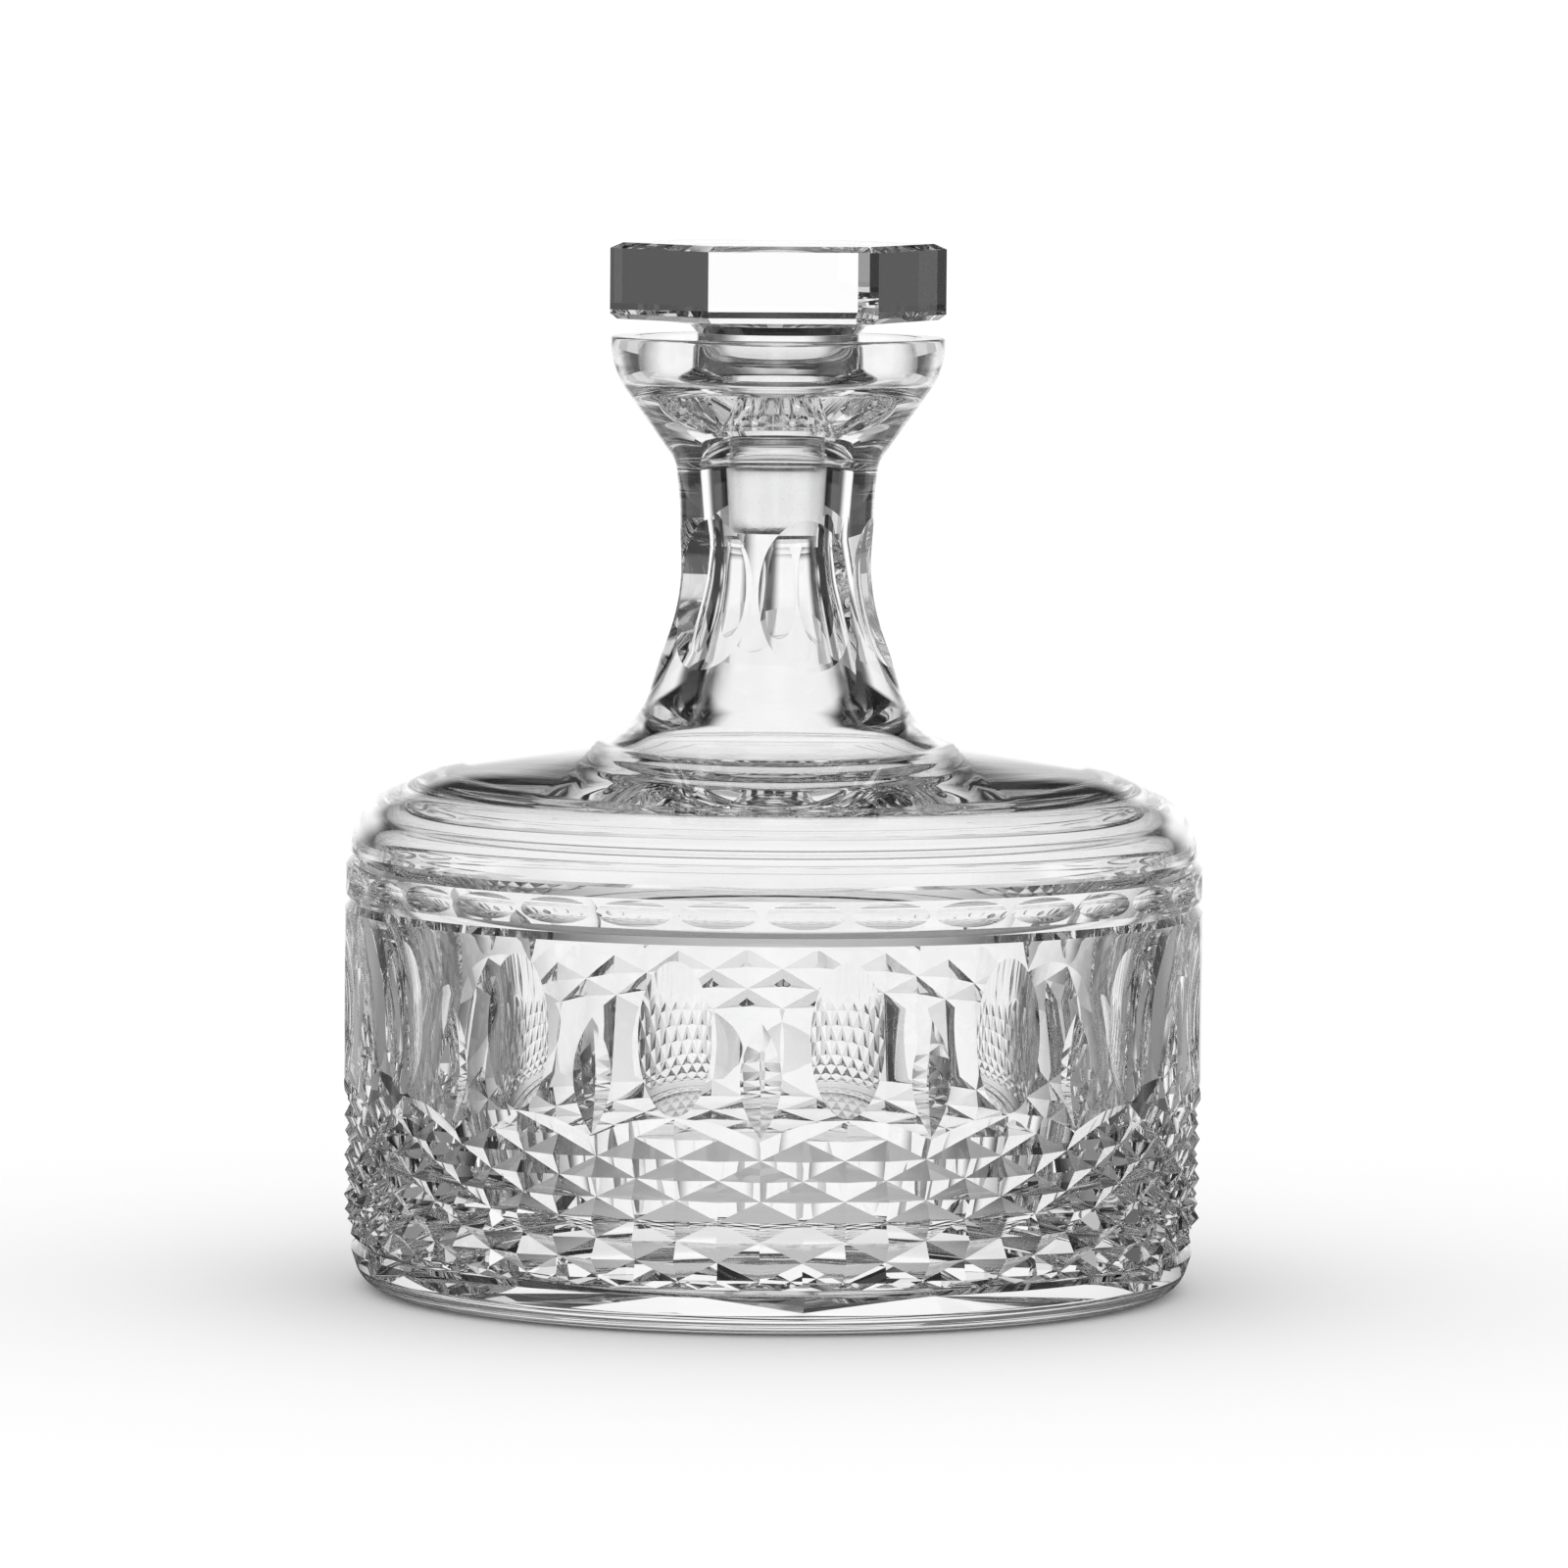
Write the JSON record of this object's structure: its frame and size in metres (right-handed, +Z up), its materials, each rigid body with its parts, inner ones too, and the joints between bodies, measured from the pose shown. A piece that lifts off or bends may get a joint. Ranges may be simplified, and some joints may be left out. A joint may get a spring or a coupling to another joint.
{
  "type": "wine decanter",
  "caption": "Squat clear cut-glass wine decanter with a waisted neck, a flared mouth cup, bands of wheel cuts around the side and a lift-out six-sided stopper.",
  "frame": {"origin": "on the decanter's axis at the table, in the plane of the foot's resting ring", "axes": "+Z up along the axis of the bottle and the stopper; a pointed cut of the side faces -Y, towards the viewer"},
  "size_m": [0.14, 0.14, 0.1704],
  "materials": {
    "bottle_glass": "polished clear lead glass, wheel cut",
    "stopper_glass": "polished clear lead glass, plug ground matt"
  },
  "bodies": {
    "bottle": {"bottle": "bottle_glass"},
    "stopper": {"stopper": "stopper_glass"}
  },
  "joints": [
    {"name": "stopper_lift", "type": "slide", "parent": "bottle", "child": "stopper", "axis": [0, 0, 1], "range_m": [0, 0.06]}
  ]
}
